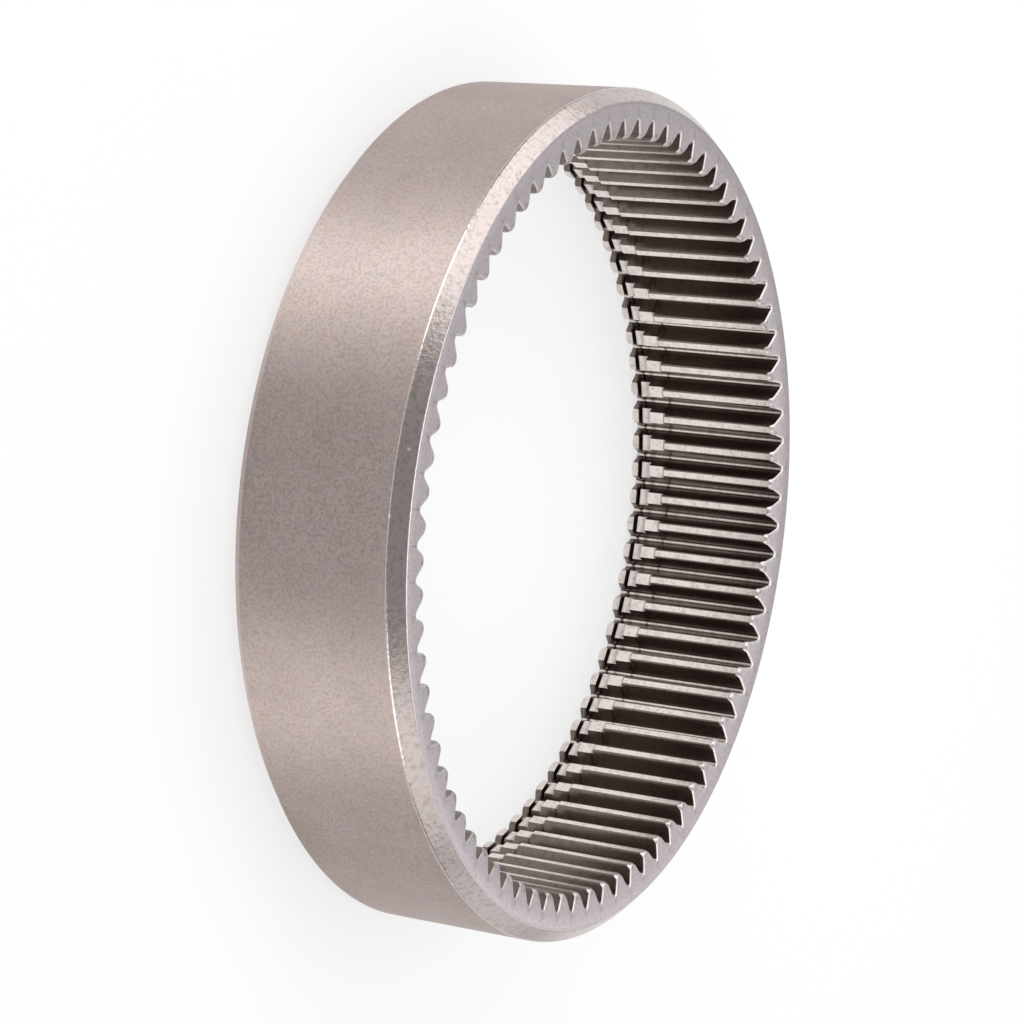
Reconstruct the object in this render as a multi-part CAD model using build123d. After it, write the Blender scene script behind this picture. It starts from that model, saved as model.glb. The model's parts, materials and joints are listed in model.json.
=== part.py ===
from build123d import *
from math import acos, cos, pi, radians, sin, tan
import os

# Internal ring gear, turned and broached from one piece of steel, in mm.
# It lies on its back face with the axis along +Z. The bore steps and the ring groove
# are at the bottom and the chamfered tooth ends are at the top.

# Toothing
TEETH = 78
MODULE = 1.5
PRESSURE_ANGLE = 25.0      # degrees
ADDENDUM = 1.1             # pitch circle in to the tooth tips
DEDENDUM = 1.8             # pitch circle out to the tooth roots

# Rim
FACE_WIDTH = 27.6          # back face to front face
RIM_WALL = 4.7             # tooth roots out to the outer diameter
FRONT_CHAMFER = 2.0
BACK_CHAMFER = 1.8

# Tooth ends at the front
FACE_STEP = 0.7            # flat front face stops this far outside the tooth roots
TOOTH_END_ANGLE = 10.0     # degrees, slope of the tooth ends from the front face
TIP_BREAK_WIDTH = 0.35     # steeper break at the tip corner of each tooth, along the radius
TIP_BREAK_ANGLE = 50.0     # degrees

# Bore steps at the back, each given by its length and its depth past the one before
RELIEF_LENGTH = 3.05
RELIEF_DEPTH = 0.6
SEAT_LENGTH = 1.8
SEAT_DEPTH = 0.8
GROOVE_WIDTH = 0.5
GROOVE_DEPTH = 1.2
LIP_THICKNESS = 1.3
LIP_HEIGHT = 0.4           # how far the lip stands in from the seat

BROACH_CLEARANCE = 0.6     # how far the broach runs inside the tips and past both faces
FLANK_POINTS = 4           # involute points that each flank is drawn through

# Worked out from the sizes above
pitch_radius = MODULE * TEETH / 2
base_radius = pitch_radius * cos(radians(PRESSURE_ANGLE))
tip_radius = pitch_radius - ADDENDUM
root_radius = pitch_radius + DEDENDUM
outer_radius = root_radius + RIM_WALL
relief_radius = tip_radius + RELIEF_DEPTH
seat_radius = relief_radius + SEAT_DEPTH
groove_radius = seat_radius + GROOVE_DEPTH
lip_radius = seat_radius - LIP_HEIGHT

groove_top = LIP_THICKNESS + GROOVE_WIDTH
seat_top = groove_top + SEAT_LENGTH
relief_top = seat_top + RELIEF_LENGTH

face_inner_radius = root_radius + FACE_STEP
break_radius = tip_radius + TIP_BREAK_WIDTH
break_top = FACE_WIDTH - (face_inner_radius - break_radius) * tan(radians(TOOTH_END_ANGLE))
break_bottom = break_top - TIP_BREAK_WIDTH * tan(radians(TIP_BREAK_ANGLE))


def turned_blank():
    """The ring before its teeth are cut: one section turned about the axis."""
    section = [
        (lip_radius, 0),
        (outer_radius - BACK_CHAMFER, 0),
        (outer_radius, BACK_CHAMFER),
        (outer_radius, FACE_WIDTH - FRONT_CHAMFER),
        (outer_radius - FRONT_CHAMFER, FACE_WIDTH),
        (face_inner_radius, FACE_WIDTH),
        (break_radius, break_top),
        (tip_radius, break_bottom),
        (tip_radius, relief_top),
        (relief_radius, relief_top),
        (relief_radius, seat_top),
        (seat_radius, seat_top),
        (seat_radius, groove_top),
        (groove_radius, groove_top),
        (groove_radius, LIP_THICKNESS),
        (lip_radius, LIP_THICKNESS),
    ]
    outline = Polyline(*[(r, 0, z) for r, z in section], close=True)
    return revolve(make_face(outline), Axis.Z, 360)


def involute(angle):
    return tan(angle) - angle


def flank_point(radius, side):
    """Point of the tooth space's involute flank at a radius; side is +1 or -1."""
    narrowing = involute(acos(base_radius / radius)) - involute(radians(PRESSURE_ANGLE))
    half_space = pi / (2 * TEETH) - narrowing
    return (radius * cos(half_space), side * radius * sin(half_space))


def tooth_space():
    """Section of one space between two teeth, centred on the +X side."""
    start = tip_radius - BROACH_CLEARANCE
    step = (root_radius - start) / (FLANK_POINTS - 1)
    radii = [start + step * number for number in range(FLANK_POINTS)]
    left, right = [Spline(*[flank_point(radius, side) for radius in radii]) for side in (-1, 1)]
    root = ThreePointArc(left @ 1, (root_radius, 0), right @ 1)
    throat = Line(left @ 0, right @ 0)
    return make_face([left, root, right, throat])


def toothed(blank):
    """Cut every tooth space straight through, from face to face."""
    broach = extrude(tooth_space(), FACE_WIDTH + 2 * BROACH_CLEARANCE)
    broach = Pos(0, 0, -BROACH_CLEARANCE) * broach
    return blank - [Rot(0, 0, 360 * number / TEETH) * broach for number in range(TEETH)]


ring_gear = toothed(turned_blank())
ring_gear.label = "ring_gear"

os.makedirs("parts", exist_ok=True)
export_step(ring_gear, "parts/ring_gear.step")
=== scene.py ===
"""An internal ring gear, lying on its back face: tumbled steel, 78 straight involute teeth,
a stepped counterbore with a retaining ring groove at the bottom, chamfered rim."""
import json
from math import acos, cos, hypot, pi, radians, sin, tan

import bmesh
import bpy
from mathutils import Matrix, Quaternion, Vector


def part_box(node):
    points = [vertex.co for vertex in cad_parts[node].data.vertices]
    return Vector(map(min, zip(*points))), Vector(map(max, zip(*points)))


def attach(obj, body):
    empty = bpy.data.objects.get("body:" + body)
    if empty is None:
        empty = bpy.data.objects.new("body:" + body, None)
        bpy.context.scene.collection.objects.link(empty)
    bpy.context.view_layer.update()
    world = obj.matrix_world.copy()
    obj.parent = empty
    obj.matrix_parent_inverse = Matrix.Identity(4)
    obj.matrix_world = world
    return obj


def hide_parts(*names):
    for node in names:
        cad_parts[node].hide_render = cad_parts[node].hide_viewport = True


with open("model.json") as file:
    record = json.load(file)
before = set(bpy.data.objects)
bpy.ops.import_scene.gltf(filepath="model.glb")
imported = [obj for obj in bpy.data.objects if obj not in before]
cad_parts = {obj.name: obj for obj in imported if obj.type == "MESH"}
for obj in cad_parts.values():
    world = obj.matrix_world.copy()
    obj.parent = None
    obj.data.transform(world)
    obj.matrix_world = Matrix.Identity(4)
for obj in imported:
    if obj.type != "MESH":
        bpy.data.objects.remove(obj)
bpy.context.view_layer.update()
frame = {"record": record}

# ---------------------------------------------------------------- sizes, in mm

MM = 0.001
mounts = {mount["name"]: mount for mount in frame["record"]["mounts"]}
top_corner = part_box("ring_gear")[1]

OUTER_RADIUS = mounts["outer_diameter"]["dims"]["r_mm"]
FACE_WIDTH = top_corner.z / MM
FRONT_CHAMFER = 2.0
BACK_CHAMFER = 1.8
CHAMFER_ANGLE = radians(45)
RIM_EDGE_BREAK = 0.1          # tumbled-over edges of the chamfers
RIM_COLUMNS = 3               # facets of the rim for half a tooth
EDGE_GUARD = 0.1              # a row this far from a broken edge keeps the face beside it flat

TEETH = 78
MODULE = 1.5
PRESSURE_ANGLE = radians(25)
ADDENDUM = 1.1
DEDENDUM = 1.8
TIP_ROUNDING = 0.2
ROOT_FILLET = 0.35

FACE_STEP = 0.7               # flat face stops this far outside the roots
TOOTH_END_ANGLE = radians(10)
TIP_BREAK_WIDTH = 0.2         # at the middle of a tooth
TIP_BREAK_CROWN = 0.38        # wider by this at its corners
TIP_BREAK_ANGLE = radians(50)
FRONT_DEBURR = 0.25           # rounded rim round each tooth space, square to its outline
FRONT_DEBURR_DEPTH = 0.16

RELIEF_LENGTH = 3.05
RELIEF_DEPTH = 0.6
SEAT_LENGTH = 1.8
SEAT_DEPTH = 0.8
GROOVE_WIDTH = 0.5
GROOVE_DEPTH = 1.2
LIP_THICKNESS = 1.3
LIP_HEIGHT = 0.4              # the lip stands in this far from the seat
STEP_EDGE_BREAK = 0.07
BACK_DEBURR = 0.35            # rounded edge of the lip, square to the tooth outline
BACK_DEBURR_HEIGHT = 0.9      # at most, on the flanks
BACK_DEBURR_LEAST = 0.15      # on the tip and the root
BACK_DEBURR_GAIN = 1.3        # higher by up to this as the outline turns along the radius

CROWN_SHARES = (0.0, 0.4, 0.75)   # places over half a tip, from its middle to its rounding
TIP_POINTS = 4                # points round a tip corner
ROUNDING_POINTS = 5           # points round every other corner
SLANT_LIMIT = 0.42            # squareness counts as no less, so no rounded rim grows too wide
BRIGHT_FILLET = 0.45          # share of a root fillet that is bright, as the root is
TOUCHING = 0.001              # closer than this is on the turned surface
PAINTED_SHADE_WIDTH = 0.35              # painted shade in the corner of the relief reaches this far and has gone here
PAINTED_SHADE_END = 0.6                 # and has gone here
# painted shade under the seat's step reaches this far; the lip's painted shadow on the seat ends
# this far above the groove
SEAT_PAINTED_SHADE_WIDTH = 0.45
GROOVE_PAINTED_SHADOW_END = 0.5
SHARP_ANGLE = radians(35)     # steeper edges are shaded sharp
MERGE_GAP = 0.002             # points closer than this in one slice fall together
SLIVER = 0.001                # shorter edges are dropped
WELD_GAP = 0.004              # points closer than this at the cuts fall together

pitch_radius = MODULE * TEETH / 2
base_radius = pitch_radius * cos(PRESSURE_ANGLE)
tip_radius = pitch_radius - ADDENDUM
root_radius = pitch_radius + DEDENDUM
relief_radius = tip_radius + RELIEF_DEPTH
seat_radius = relief_radius + SEAT_DEPTH
groove_radius = seat_radius + GROOVE_DEPTH
lip_radius = seat_radius - LIP_HEIGHT
groove_top = LIP_THICKNESS + GROOVE_WIDTH
seat_top = groove_top + SEAT_LENGTH
relief_top = seat_top + RELIEF_LENGTH
face_inner_radius = root_radius + FACE_STEP
half_pitch = pi / TEETH

# Finishes of the one piece of steel, in the order of its materials.
GROUND, TUMBLED, DENTED, BRIGHT, BROACHED = range(5)
# The wear at a point is 1 where it is rubbed bright and painted with a highlight, 0 for the plain
# finish and -1 where black shade is painted in. Below, a row is (radius, height, wear, finish).


# ---------------------------------------------------------------- tooth shape

def involute(angle):
    return tan(angle) - angle


def flank_angle(radius):
    """Half of a tooth's angle at a radius, from its middle to the flank."""
    widening = involute(acos(base_radius / radius)) - involute(PRESSURE_ANGLE)
    return pi / (2 * TEETH) + widening


def bend(start, corner, end, count):
    """Points of the curve that rounds a corner off, both ends included."""
    points = []
    for number in range(count):
        t = number / (count - 1)
        near, middle, far = (1 - t) ** 2, 2 * t * (1 - t), t ** 2
        points.append(tuple(near * a + middle * b + far * c for a, b, c in zip(start, corner, end)))
    return points


def tooth_outline():
    """Half the outline between two teeth, as (radius, angle from the tooth's middle)."""
    tip_corner = (tip_radius, flank_angle(tip_radius))
    tip_end = tip_radius + TIP_ROUNDING
    tip = bend((tip_radius, tip_corner[1] - TIP_ROUNDING / tip_radius), tip_corner,
               (tip_end, flank_angle(tip_end)), TIP_POINTS)
    flank_radii = [relief_radius, lip_radius, seat_radius,
                   seat_radius + GROOVE_DEPTH / 3, seat_radius + GROOVE_DEPTH * 2 / 3, groove_radius]
    flank = [(radius, flank_angle(radius)) for radius in flank_radii]
    fillet_start = root_radius - ROOT_FILLET
    root_corner = (root_radius, flank_angle(root_radius))
    root = bend((fillet_start, flank_angle(fillet_start)), root_corner,
                (root_radius, root_corner[1] + ROOT_FILLET / root_radius), ROUNDING_POINTS)
    crown = [(tip_radius, tip[0][1] * share) for share in CROWN_SHARES]
    return crown + tip + flank + root + [(root_radius, half_pitch)]


def tip_break(angle):
    """Radius where the broken edge of a tooth's tip starts: crowned over the tip."""
    share = min(angle / flank_angle(tip_radius), 1)
    return tip_radius + TIP_BREAK_WIDTH + TIP_BREAK_CROWN * share ** 2


def front_height(radius, break_radius):
    """Height of the sloped tooth ends at a radius."""
    slope = min(face_inner_radius - radius, face_inner_radius - break_radius)
    height = FACE_WIDTH - max(slope, 0) * tan(TOOTH_END_ANGLE)
    return height - max(break_radius - radius, 0) * tan(TIP_BREAK_ANGLE)


def crossing(outline, index):
    """How square the outline runs to the radius: 1 on the tip and root, less on the flank."""
    before = outline[max(index - 1, 0)]
    after = outline[min(index + 1, len(outline) - 1)]
    along = (after[1] - before[1]) * outline[index][0]
    return max(along / hypot(along, after[0] - before[0]), SLANT_LIMIT)


def wall_finish(radius, turned_radius):
    """Bright where the lathe has cut and along the roots, dark on the broached flanks."""
    turned = turned_radius > radius - TOUCHING
    at_root = radius > root_radius - BRIGHT_FILLET * ROOT_FILLET
    return BRIGHT if turned or at_root else BROACHED


def front_end(radius, angle, squareness):
    """From the flat face over the sloped tooth end and its rounded rim down the wall."""
    rim = radius + FRONT_DEBURR / squareness
    broken = tip_break(angle)
    shoulder = max(broken, rim)
    top = front_height(radius, broken)
    # the shoulder and the rounded rim round each tooth space are rubbed bright, with a painted
    # highlight
    path = [(face_inner_radius, FACE_WIDTH, 0.0, GROUND),
            (shoulder + EDGE_GUARD, front_height(shoulder + EDGE_GUARD, broken), 0.0, GROUND),
            (shoulder, front_height(shoulder, broken), 0.25, GROUND)]
    rounding = bend((rim, front_height(rim, broken)), (radius, top),
                    (radius, top - FRONT_DEBURR_DEPTH), ROUNDING_POINTS)
    worn_and_painted_light = (0.6 if rim < broken else 0.25, 0.65, 0.65, 0.35, 0.0)
    finishes = (GROUND,) * 4 + (wall_finish(radius, tip_radius),)
    return path + [(r, z, wear_and_painted_light, finish) for (r, z), wear_and_painted_light, finish in zip(rounding, worn_and_painted_light, finishes)]


def bore_steps(radius):
    """Down past the relief, the hub seat and the ring groove to the inside of the lip."""
    e = STEP_EDGE_BREAK
    # below zero this paints shade: black in the corners under the relief and the seat, in the groove
    # and on the lip's edge, and the lip's shadow on the seat
    turned = [
        (tip_radius, relief_top + e, 0.0), (tip_radius + e, relief_top, 0.0),
        (relief_radius, relief_top, -0.7), (relief_radius, relief_top - PAINTED_SHADE_WIDTH, -0.6),
        (relief_radius, relief_top - PAINTED_SHADE_END, 0.0),
        (relief_radius, seat_top + e, 0.0), (relief_radius + e, seat_top, 0.0),
        (seat_radius, seat_top, -0.5), (seat_radius, seat_top - SEAT_PAINTED_SHADE_WIDTH, -0.4),
        (seat_radius, groove_top + GROOVE_PAINTED_SHADOW_END, 0.0), (seat_radius, groove_top + e, -0.25),
        (seat_radius + e, groove_top, -0.9), (groove_radius, groove_top, -0.9),
        (groove_radius, LIP_THICKNESS, -0.9), (lip_radius + e, LIP_THICKNESS, -0.2),
    ]
    return [(max(radius, cut), z, wear_and_painted_light, wall_finish(radius, cut)) for cut, z, wear_and_painted_light in turned]


def lip_end(radius, squareness):
    """Round the stub of a tooth in the lip on to the back face, most on its flanks."""
    inner = max(radius, lip_radius)
    finish = wall_finish(radius, lip_radius)
    height = min(BACK_DEBURR_LEAST + BACK_DEBURR_GAIN * (1 - squareness), BACK_DEBURR_HEIGHT)
    rounding = bend((inner, height), (inner, 0.0), (inner + BACK_DEBURR / squareness, 0.0),
                    ROUNDING_POINTS)
    # painted shade: the stub is darker towards the back face and at the lip's edge
    worn_and_painted_light = (-0.05, -0.05, -0.1, -0.2, -0.3)
    return ([(inner, LIP_THICKNESS - STEP_EDGE_BREAK, -0.1, finish)]
            + [(r, z, wear_and_painted_light, finish) for (r, z), wear_and_painted_light in zip(rounding, worn_and_painted_light)])


def rim_outside():
    """Round the outside of the rim, from the back face to the front face."""
    e = RIM_EDGE_BREAK
    slanted = e * cos(CHAMFER_ANGLE)
    beyond = EDGE_GUARD
    back_edge = OUTER_RADIUS - BACK_CHAMFER
    front_edge = OUTER_RADIUS - FRONT_CHAMFER
    shoulder = FACE_WIDTH - FRONT_CHAMFER
    return [
        (back_edge - e - beyond, 0, 0, TUMBLED), (back_edge - e, 0, 0, TUMBLED),
        (back_edge + slanted, slanted, 0, TUMBLED),
        (back_edge + slanted + beyond, slanted + beyond, 0, TUMBLED),
        (OUTER_RADIUS - slanted - beyond, BACK_CHAMFER - slanted - beyond, 0, TUMBLED),
        (OUTER_RADIUS - slanted, BACK_CHAMFER - slanted, 0, TUMBLED),
        (OUTER_RADIUS, BACK_CHAMFER + e, 0, TUMBLED),
        (OUTER_RADIUS, BACK_CHAMFER + e + beyond, 0, TUMBLED),
        (OUTER_RADIUS, shoulder - e - beyond, 0, DENTED),
        # the edge from the outside on to the front chamfer is rubbed bright, with a painted
        # highlight
        (OUTER_RADIUS, shoulder - e, 0.1, DENTED),
        (OUTER_RADIUS - slanted, shoulder + slanted, 0.1, DENTED),
        (OUTER_RADIUS - slanted - beyond, shoulder + slanted + beyond, 0, DENTED),
        # the edge on to the front face is rubbed bright, with a painted highlight, and a thin darker
        # line inside it
        (front_edge + 0.14, FACE_WIDTH - 0.14, 0, DENTED),
        (front_edge + 0.04, FACE_WIDTH - 0.04, 0.2, GROUND),
        (front_edge - 0.05, FACE_WIDTH, 0.1, GROUND),
        (front_edge - 0.25, FACE_WIDTH, -0.15, GROUND), (front_edge - 0.5, FACE_WIDTH, 0, GROUND),
    ]


def rim_angle(angle):
    """Nearest of the few angles that are enough for the plain outside of the rim."""
    step = half_pitch / RIM_COLUMNS
    return round(angle / step) * step


def one_tooth():
    """Mesh of one tooth's slice of the ring: closed loops side by side, open at both cuts."""
    outline = tooth_outline()
    outside_rows = len(rim_outside())
    slices = []
    for index, (radius, angle) in enumerate(outline):
        squareness = crossing(outline, index)
        loop = (front_end(radius, angle, squareness) + bore_steps(radius)
                + lip_end(radius, squareness) + rim_outside())
        slices.append((angle, loop))
    both_sides = [(-angle, loop) for angle, loop in reversed(slices[1:])] + slices
    length = len(slices[0][1])
    points, wear_and_painted_light = [], []
    for angle, loop in both_sides:
        for row, (radius, height, worn_and_painted_light, finish) in enumerate(loop):
            turned = half_pitch + (rim_angle(angle) if row >= length - outside_rows else angle)
            points.append((radius * cos(turned) * MM, radius * sin(turned) * MM, height * MM))
            wear_and_painted_light.append(worn_and_painted_light)
    faces, finishes = [], []
    for column in range(len(both_sides) - 1):
        for row in range(length):
            here, there = column * length, (column + 1) * length
            below = (row + 1) % length
            faces.append((here + row, here + below, there + below, there + row))
            finishes.append(max(both_sides[column][1][row][3], both_sides[column + 1][1][row][3]))
    mesh = bpy.data.meshes.new("one_tooth")
    mesh.from_pydata(points, [], faces)
    mesh.attributes.new("wear_and_painted_light", "FLOAT", "POINT").data.foreach_set("value", wear_and_painted_light)
    mesh.attributes.new("finish", "INT", "FACE").data.foreach_set("value", finishes)
    close_up(mesh)
    return mesh


def close_up(mesh):
    """Merge the points that fall together and drop what they leave without area."""
    shape = bmesh.new()
    shape.from_mesh(mesh)
    bmesh.ops.remove_doubles(shape, verts=shape.verts, dist=MERGE_GAP * MM)
    bmesh.ops.dissolve_degenerate(shape, edges=shape.edges, dist=SLIVER * MM)
    shape.to_mesh(mesh)
    shape.free()


# ---------------------------------------------------------------- node helper

def add_node(tree, kind, settings=None, **inputs):
    """Add a node, set its properties, then set or link its inputs by name or number."""
    node = tree.nodes.new(kind)
    for name, value in (settings or {}).items():
        setattr(node, name, value)
    for name, value in inputs.items():
        key = int(name[1:]) if name[0] == "_" else name.replace("_", " ")
        if isinstance(value, bpy.types.NodeSocket):
            tree.links.new(value, node.inputs[key])
        else:
            node.inputs[key].default_value = value
    return node


# ---------------------------------------------------------------- the ring

def ring_of_teeth_tree(materials):
    """Repeat one tooth's slice round the axis, weld the cuts and give each face its finish."""
    tree = bpy.data.node_groups.new("ring_of_teeth", "GeometryNodeTree")
    tree.interface.new_socket("Tooth", in_out="INPUT", socket_type="NodeSocketGeometry")
    tree.interface.new_socket("Teeth", in_out="INPUT", socket_type="NodeSocketInt")
    tree.interface.new_socket("Weld", in_out="INPUT", socket_type="NodeSocketFloat")
    tree.interface.new_socket("Ring", in_out="OUTPUT", socket_type="NodeSocketGeometry")
    given = tree.nodes.new("NodeGroupInput").outputs
    places = add_node(tree, "GeometryNodePoints", Count=given["Teeth"])
    pitch = add_node(tree, "ShaderNodeMath", {"operation": "DIVIDE"}, _0=2 * pi, _1=given["Teeth"])
    index = add_node(tree, "GeometryNodeInputIndex")
    turn = add_node(tree, "ShaderNodeMath", {"operation": "MULTIPLY"},
                    _0=index.outputs[0], _1=pitch.outputs[0])
    rotation = add_node(tree, "ShaderNodeCombineXYZ", Z=turn.outputs[0])
    slices = add_node(tree, "GeometryNodeInstanceOnPoints", Points=places.outputs[0],
                      Instance=given["Tooth"], Rotation=rotation.outputs[0])
    real = add_node(tree, "GeometryNodeRealizeInstances", Geometry=slices.outputs[0])
    welded = add_node(tree, "GeometryNodeMergeByDistance", Geometry=real.outputs[0],
                      Distance=given["Weld"])
    finish = add_node(tree, "GeometryNodeInputNamedAttribute", {"data_type": "INT"}, Name="finish")
    ring = welded.outputs[0]
    for number, material in enumerate(materials):
        chosen = add_node(tree, "FunctionNodeCompare", {"data_type": "INT", "operation": "EQUAL"},
                          _2=finish.outputs[0], _3=number)
        ring = add_node(tree, "GeometryNodeSetMaterial", Geometry=ring,
                        Selection=chosen.outputs[0], Material=material).outputs[0]
    result = tree.nodes.new("NodeGroupOutput")
    tree.links.new(ring, result.inputs["Ring"])
    return tree


def plain_copy(maker, name):
    """The evaluated object as a plain mesh on a new object of its own."""
    graph = bpy.context.evaluated_depsgraph_get()
    mesh = bpy.data.meshes.new_from_object(maker.evaluated_get(graph), depsgraph=graph)
    mesh.name = name
    piece = bpy.data.objects.new(name, mesh)
    bpy.context.collection.objects.link(piece)
    return piece


def make_ring(materials):
    """The whole ring as one plain mesh, with its faces outwards and its steps left sharp."""
    maker = bpy.data.objects.new("ring_maker", one_tooth())
    bpy.context.collection.objects.link(maker)
    modifier = maker.modifiers.new("ring_of_teeth", "NODES")
    modifier.node_group = ring_of_teeth_tree(materials)
    sizes = {"Teeth": TEETH, "Weld": WELD_GAP * MM}
    for socket in modifier.node_group.interface.items_tree:
        if socket.name in sizes:
            modifier[socket.identifier] = sizes[socket.name]
    ring = plain_copy(maker, "ring_gear_steel")
    bpy.data.objects.remove(maker)
    shape = bmesh.new()
    shape.from_mesh(ring.data)
    bmesh.ops.recalc_face_normals(shape, faces=shape.faces)
    shape.to_mesh(ring.data)
    shape.free()
    ring.data.shade_smooth()
    ring.data.set_sharp_from_angle(angle=SHARP_ANGLE)
    return ring


# ---------------------------------------------------------------- materials

def linear(hex_colour):
    """sRGB hex to a linear colour."""
    channels = [int(hex_colour[i:i + 2], 16) / 255 for i in (1, 3, 5)]
    return [c / 12.92 if c <= 0.04045 else ((c + 0.055) / 1.055) ** 2.4 for c in channels] + [1.0]


def from_angles(azimuth, elevation):
    """Unit vector towards a compass direction (from +X towards +Y) and height, in degrees."""
    a, e = radians(azimuth), radians(elevation)
    return Vector((cos(a) * cos(e), sin(a) * cos(e), sin(e)))


def new_material(name):
    """An empty node material."""
    material = bpy.data.materials.new(name)
    material.use_nodes = True
    material.node_tree.nodes.clear()
    return material


SMOOTH = {"interpolation_type": "SMOOTHSTEP"}
COLOUR = {"data_type": "RGBA"}

# rubbed edges, made brighter still as a painted highlight
RUBBED_AND_HIGHLIGHT = "#EDE5E1"
FRESH_METAL = "#FFFDFB"
# painted shade, black, for corners, recesses, the groove and the lip's shadow on the seat
PAINTED_SHADE_BLACK = "#241D18"
DRIED_OIL = "#6F6966"

DENT_SIZE = 0.42              # dents of the tumbling stones, all in mm from here on
DENT_DEPTH = 0.02
TINT_SIZE = 2.6
CLOUD_SIZE = 12
STAIN_SIZE = 1.3              # spots of dried oil
STAIN_FADE = 0.4              # either side of the radius that the stains reach out to
KNOCK_CORE = 0.14             # the metal is bare inside this radius
KNOCK_END = 0.34              # and the knock has faded out here
# knocks on the front chamfer: in from the outside, down from the face, and angle in degrees
KNOCKS = ((0.1, 2.2, -37.5), (1.0, 1.0, -99.5), (0.05, 2.1, -91.3))

FLOOR_PAPER = "#8F8F8F"
FLOOR_GLOW = 0.7


def tumbled_rim():
    """Steel turned outside and then tumbled with stones: satin, with soft bands of light along
    the axis, warm and cool tints, duller clouds and a fine grain of small dull dents."""
    material = new_material("tumbled_rim_steel")
    tree = material.node_tree
    place = add_node(tree, "ShaderNodeTexCoord").outputs["Object"]
    # the real dents are about 0.2 mm across, drawn at twice that so that they show
    dents = add_node(tree, "ShaderNodeTexNoise", Vector=place, Scale=1 / (DENT_SIZE * MM),
                     Detail=2.0, Roughness=0.6).outputs[0]
    tints = add_node(tree, "ShaderNodeTexNoise", Vector=place, Scale=1 / (TINT_SIZE * MM),
                     Detail=1.0)
    clouds = add_node(tree, "ShaderNodeTexNoise", Vector=place, Scale=1 / (CLOUD_SIZE * MM),
                      Detail=3.0, Roughness=0.6)
    tinted = add_node(tree, "ShaderNodeMapRange", SMOOTH, Value=tints.outputs[0],
                      From_Min=0.35, From_Max=0.65)
    clouded = add_node(tree, "ShaderNodeMapRange", SMOOTH, Value=clouds.outputs[0],
                       From_Min=0.35, From_Max=0.65, To_Max=0.3)
    dented = add_node(tree, "ShaderNodeMapRange", SMOOTH, Value=dents,
                      From_Min=0.4, From_Max=0.7, To_Max=0.34)
    colour = add_node(tree, "ShaderNodeMix", COLOUR, _0=tinted.outputs[0],
                      _6=linear("#CFBFB8"), _7=linear("#CCBFBD"))
    colour = add_node(tree, "ShaderNodeMix", COLOUR, _0=clouded.outputs[0],
                      _6=colour.outputs[2], _7=linear("#B9A9A4"))
    colour = add_node(tree, "ShaderNodeMix", COLOUR, _0=dented.outputs[0],
                      _6=colour.outputs[2], _7=linear("#A08F8A"))
    roughness = add_node(tree, "ShaderNodeMapRange", SMOOTH, Value=dents,
                         From_Min=0.35, From_Max=0.65, To_Min=0.54, To_Max=0.6)
    bump = add_node(tree, "ShaderNodeBump", Strength=0.13, Distance=DENT_DEPTH * MM, Height=dents)
    along_axis = add_node(tree, "ShaderNodeCombineXYZ", Z=1.0)
    surface = add_node(tree, "ShaderNodeBsdfPrincipled", Base_Color=colour.outputs[2], Metallic=1.0,
                       Roughness=roughness.outputs[0], Anisotropic=0.9, Normal=bump.outputs[0],
                       Tangent=along_axis.outputs[0])
    add_node(tree, "ShaderNodeOutputMaterial", Surface=surface.outputs[0])
    return material


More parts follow.
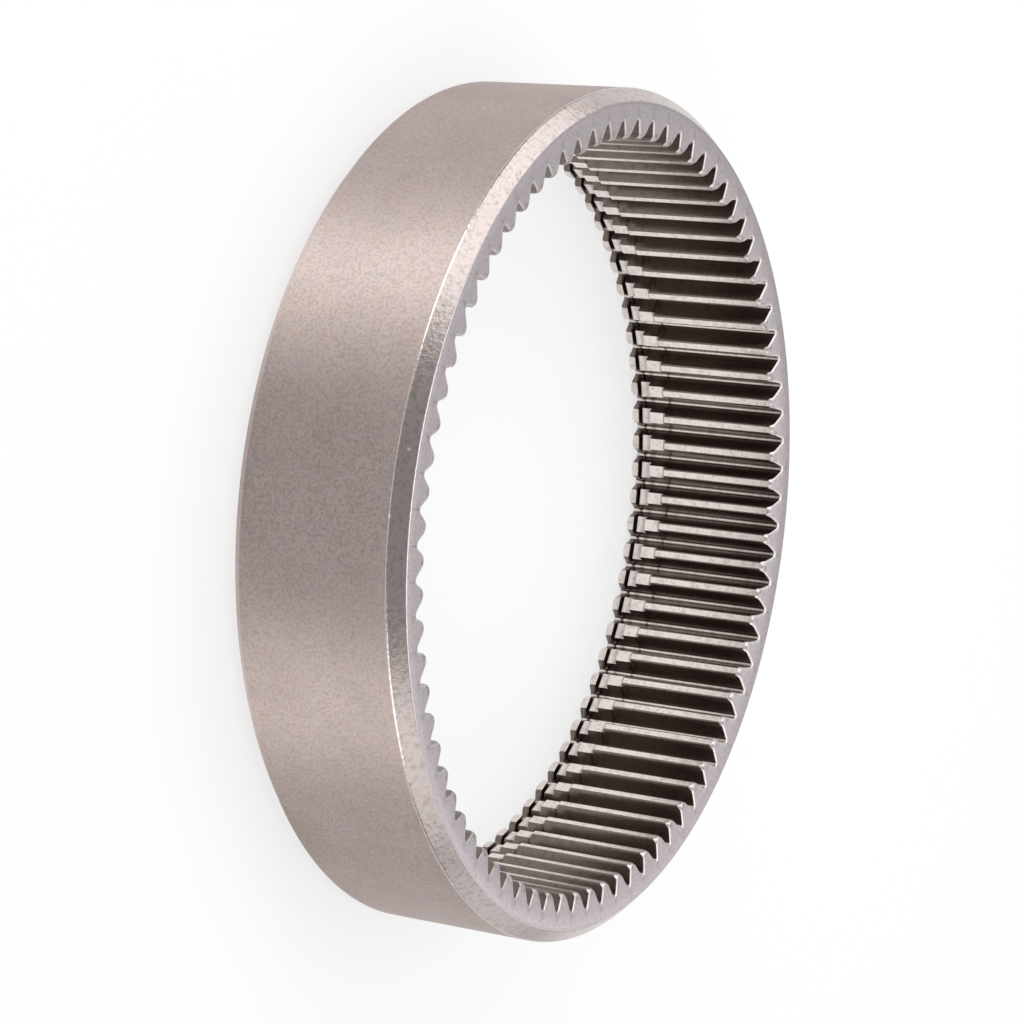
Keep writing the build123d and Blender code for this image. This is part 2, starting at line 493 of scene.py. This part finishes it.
def satin_steel(name, base, dull, roughness, grain_size, grain_depth, stain=0.0,
                stain_radius=OUTER_RADIUS + 1, knocks=()):
    """Cut or ground steel: duller specks in the base colour, stains of dried oil out to a
    radius, bright metal where edges are rubbed or knocked, a painted highlight on the rubbed
    edges, and painted shade, black, in the corners and recesses.

    The marks of the tools are finer than 0.1 mm. The grain is coarser, so that it shows."""
    material = new_material(name)
    tree = material.node_tree
    place = add_node(tree, "ShaderNodeTexCoord").outputs["Object"]
    grain = add_node(tree, "ShaderNodeTexNoise", Vector=place, Scale=1 / (grain_size * MM),
                     Detail=2.0, Roughness=0.6).outputs[0]
    stains = add_node(tree, "ShaderNodeTexNoise", Vector=place, Scale=1 / (STAIN_SIZE * MM),
                      Detail=2.0, Roughness=0.7)
    wear_and_painted_light = add_node(tree, "ShaderNodeAttribute", {"attribute_name": "wear_and_painted_light"}).outputs["Fac"]
    across = add_node(tree, "ShaderNodeVectorMath", {"operation": "MULTIPLY"}, _0=place,
                      _1=(1.0, 1.0, 0.0))
    from_axis = add_node(tree, "ShaderNodeVectorMath", {"operation": "LENGTH"},
                         _0=across.outputs[0])
    near_bore = add_node(tree, "ShaderNodeMapRange", SMOOTH, Value=from_axis.outputs["Value"],
                         From_Min=(stain_radius + STAIN_FADE) * MM,
                         From_Max=(stain_radius - STAIN_FADE) * MM)
    stained = add_node(tree, "ShaderNodeMapRange", SMOOTH, Value=stains.outputs[0],
                       From_Min=0.5, From_Max=0.62, To_Max=stain)
    stain_here = add_node(tree, "ShaderNodeMath", {"operation": "MULTIPLY"},
                          _0=near_bore.outputs[0], _1=stained.outputs[0])
    speckled = add_node(tree, "ShaderNodeMapRange", SMOOTH, Value=grain,
                        From_Min=0.45, From_Max=0.75)
    # below zero the attribute paints black shade
    painted_shade_amount = add_node(tree, "ShaderNodeMath", {"operation": "MULTIPLY", "use_clamp": True},
                    _0=wear_and_painted_light, _1=-1.0)
    colour = add_node(tree, "ShaderNodeMix", COLOUR, _0=speckled.outputs[0],
                      _6=linear(base), _7=linear(dull))
    colour = add_node(tree, "ShaderNodeMix", COLOUR, _0=stain_here.outputs[0],
                      _6=colour.outputs[2], _7=linear(DRIED_OIL))
    # rubbed bright edges, with a painted highlight on them
    colour = add_node(tree, "ShaderNodeMix", COLOUR, _0=wear_and_painted_light,
                      _6=colour.outputs[2], _7=linear(RUBBED_AND_HIGHLIGHT))
    colour = add_node(tree, "ShaderNodeMix", COLOUR, _0=painted_shade_amount.outputs[0],
                      _6=colour.outputs[2], _7=linear(PAINTED_SHADE_BLACK))
    for inwards, down, angle in knocks:
        middle = from_angles(angle, 0) * (OUTER_RADIUS - inwards)
        middle.z = FACE_WIDTH - down
        away = add_node(tree, "ShaderNodeVectorMath", {"operation": "DISTANCE"}, _0=place,
                        _1=middle * MM)
        knocked = add_node(tree, "ShaderNodeMapRange", SMOOTH, Value=away.outputs["Value"],
                           From_Min=KNOCK_END * MM, From_Max=KNOCK_CORE * MM, To_Max=0.85)
        colour = add_node(tree, "ShaderNodeMix", COLOUR, _0=knocked.outputs[0],
                          _6=colour.outputs[2], _7=linear(FRESH_METAL))
    bump = add_node(tree, "ShaderNodeBump", Strength=0.6, Distance=grain_depth * MM, Height=grain)
    surface = add_node(tree, "ShaderNodeBsdfPrincipled", Base_Color=colour.outputs[2], Metallic=1.0,
                       Roughness=roughness, Normal=bump.outputs[0])
    add_node(tree, "ShaderNodeOutputMaterial", Surface=surface.outputs[0])
    return material


def white_floor():
    """White paper: its own glow is seen by the eye and by mirrors, and lights nothing."""
    material = new_material("white_floor")
    tree = material.node_tree
    path = add_node(tree, "ShaderNodeLightPath").outputs
    mirrored = add_node(tree, "ShaderNodeMath", {"operation": "ADD"},
                        _0=path["Is Glossy Ray"], _1=path["Is Transmission Ray"])
    seen = add_node(tree, "ShaderNodeMath", {"operation": "ADD", "use_clamp": True},
                    _0=path["Is Camera Ray"], _1=mirrored.outputs[0])
    glow_strength = add_node(tree, "ShaderNodeMath", {"operation": "MULTIPLY"},
                             _0=seen.outputs[0], _1=FLOOR_GLOW)
    paper = add_node(tree, "ShaderNodeBsdfDiffuse", Color=linear(FLOOR_PAPER))
    glow = add_node(tree, "ShaderNodeEmission", Strength=glow_strength.outputs[0])
    both = add_node(tree, "ShaderNodeAddShader", _0=paper.outputs[0], _1=glow.outputs[0])
    add_node(tree, "ShaderNodeOutputMaterial", Surface=both.outputs[0])
    return material


# ---------------------------------------------------------------- stage

FLOOR_HALF = 20.0             # metres; so wide that its edge looks like the far horizon
WORLD_STRENGTH = 0.32
LAMP_DISTANCE = 0.8
CAMERA_LENS = 108.47          # on a sensor 36 mm wide
CAMERA_DISTANCE = 0.47564
CAMERA_AIM = Vector((0.00072, -0.00211, 0.01001))
CAMERA_AZIMUTH = -94.245
CAMERA_ELEVATION = 28.368
CAMERA_ROLL = 96.742


def make_floor():
    half = FLOOR_HALF
    mesh = bpy.data.meshes.new("floor")
    mesh.from_pydata([(-half, -half, 0), (half, -half, 0), (half, half, 0), (-half, half, 0)],
                     [], [(0, 1, 2, 3)])
    mesh.materials.append(white_floor())
    floor = bpy.data.objects.new("floor", mesh)
    bpy.context.collection.objects.link(floor)


def soft_box(name, azimuth, elevation, width, height, radiance):
    """A rectangular studio light aimed at the ring."""
    lamp = bpy.data.lights.new(name, "AREA")
    lamp.shape = "RECTANGLE"
    lamp.size, lamp.size_y = width, height
    lamp.energy = radiance * width * height * pi
    light = bpy.data.objects.new(name, lamp)
    direction = from_angles(azimuth, elevation)
    light.visible_camera = False
    light.location = direction * LAMP_DISTANCE
    light.rotation_euler = direction.to_track_quat("Z", "Y").to_euler()
    bpy.context.collection.objects.link(light)


def make_lights():
    """An even grey world, and soft boxes all round that the steel mirrors as bands."""
    world = bpy.data.worlds.new("studio")
    world.use_nodes = True
    background = world.node_tree.nodes["Background"]
    background.inputs["Color"].default_value = linear("#FFFFFF")
    background.inputs["Strength"].default_value = WORLD_STRENGTH
    bpy.context.scene.world = world
    soft_box("top_box", 186, 43, 0.5, 0.42, 1.35)
    soft_box("key_box", 153, 28, 0.36, 0.36, 1.35)
    soft_box("low_back_box", 126, 8, 0.4, 0.18, 0.7)
    soft_box("low_middle_box", 92, 8, 0.4, 0.18, 0.9)
    soft_box("left_box", -147, 17, 0.42, 0.5, 3.5)
    soft_box("right_box", -42, 20, 0.45, 0.5, 2.1)
    soft_box("high_right_box", -12, 42, 0.6, 0.35, 0.8)
    soft_box("side_box", 30, 18, 0.45, 0.35, 0.6)
    soft_box("back_box", 66, 26, 0.26, 0.34, 1.1)
    soft_box("high_back_box", 90, 55, 0.6, 0.4, 0.8)
    soft_box("overhead_box", 90, 80, 0.6, 0.6, 2.3)


def make_camera():
    """Long lens, looking down on the ring and rolled so that its axis runs left to right."""
    towards_camera = from_angles(CAMERA_AZIMUTH, CAMERA_ELEVATION)
    camera = bpy.data.cameras.new("camera")
    camera.lens = CAMERA_LENS
    camera.sensor_width = 36
    camera.clip_start = 0.01
    view = bpy.data.objects.new("camera", camera)
    view.location = CAMERA_AIM + towards_camera * CAMERA_DISTANCE
    level = towards_camera.to_track_quat("Z", "Y")
    view.rotation_euler = (level @ Quaternion((0, 0, 1), radians(CAMERA_ROLL))).to_euler()
    bpy.context.collection.objects.link(view)
    bpy.context.scene.camera = view


# ---------------------------------------------------------------- assembly

bpy.context.scene.view_settings.view_transform = "Standard"
ring_gear = make_ring([
    # steel faced flat on a grinder: an even satin grey, with dried oil on the tips' ends
    satin_steel("ground_face_steel", "#C9C0C3", "#B3AAAC", roughness=0.41,
                grain_size=0.5, grain_depth=0.006, stain=0.5, stain_radius=58.7),
    tumbled_rim(),
    # a turned chamfer, beaten by the stones of the tumbler: shinier, with clear dents
    satin_steel("tumbled_edge_steel", "#C8BCB9", "#B0A5A1", roughness=0.25,
                grain_size=0.8, grain_depth=0.08, knocks=KNOCKS),
    # steel fresh from the lathe and the broach, on steps, tips and roots: the brightest
    satin_steel("bright_cut_steel", "#F2E7E2", "#DED3CE", roughness=0.3,
                grain_size=0.6, grain_depth=0.006, stain=0.2),
    # broached flanks under a film of cutting oil: dark and smooth, between bright lands
    satin_steel("broached_flank_steel", "#7F736D", "#6C615C", roughness=0.25,
                grain_size=0.8, grain_depth=0.004),
])
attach(ring_gear, "root")
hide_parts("ring_gear")
make_floor()
make_lights()
make_camera()
